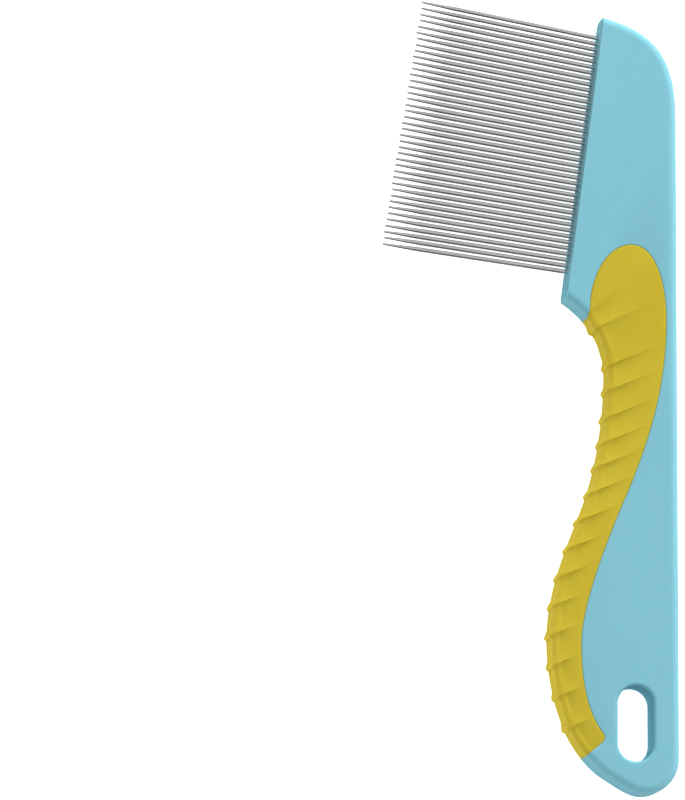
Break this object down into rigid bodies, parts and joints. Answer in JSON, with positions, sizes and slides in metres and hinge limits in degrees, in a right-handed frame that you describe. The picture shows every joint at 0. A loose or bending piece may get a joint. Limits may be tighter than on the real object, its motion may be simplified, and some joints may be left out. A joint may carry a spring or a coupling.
{
  "type": "flea comb",
  "caption": "Pet flea comb: a row of fine steel pins in a curved moulded handle with a ribbed soft grip and a hanging slot.",
  "frame": {"origin": "centre of the bounding box in X and Y, on the flat back face (Z = 0)", "axes": "+Z out of the front face, +Y along the handle from the butt to the head, -X the way the pins point"},
  "size_m": [0.0596, 0.1604, 0.008],
  "materials": {
    "blue_plastic": "satin moulded plastic",
    "yellow_grip": "soft matt overmould",
    "steel_pins": "drawn and polished"
  },
  "bodies": {
    "root": {"handle": "blue_plastic", "grip": "yellow_grip", "pin_01": "steel_pins", "pin_02": "steel_pins", "pin_03": "steel_pins", "pin_04": "steel_pins", "pin_05": "steel_pins", "pin_06": "steel_pins", "pin_07": "steel_pins", "pin_08": "steel_pins", "pin_09": "steel_pins", "pin_10": "steel_pins", "pin_11": "steel_pins", "pin_12": "steel_pins", "pin_13": "steel_pins", "pin_14": "steel_pins", "pin_15": "steel_pins", "pin_16": "steel_pins", "pin_17": "steel_pins", "pin_18": "steel_pins", "pin_19": "steel_pins", "pin_20": "steel_pins", "pin_21": "steel_pins", "pin_22": "steel_pins", "pin_23": "steel_pins", "pin_24": "steel_pins", "pin_25": "steel_pins", "pin_26": "steel_pins", "pin_27": "steel_pins", "pin_28": "steel_pins", "pin_29": "steel_pins", "pin_30": "steel_pins", "pin_31": "steel_pins", "pin_32": "steel_pins", "pin_33": "steel_pins", "pin_34": "steel_pins", "pin_35": "steel_pins", "pin_36": "steel_pins", "pin_37": "steel_pins", "pin_38": "steel_pins", "pin_39": "steel_pins", "pin_40": "steel_pins", "pin_41": "steel_pins"}
  },
  "joints": []
}
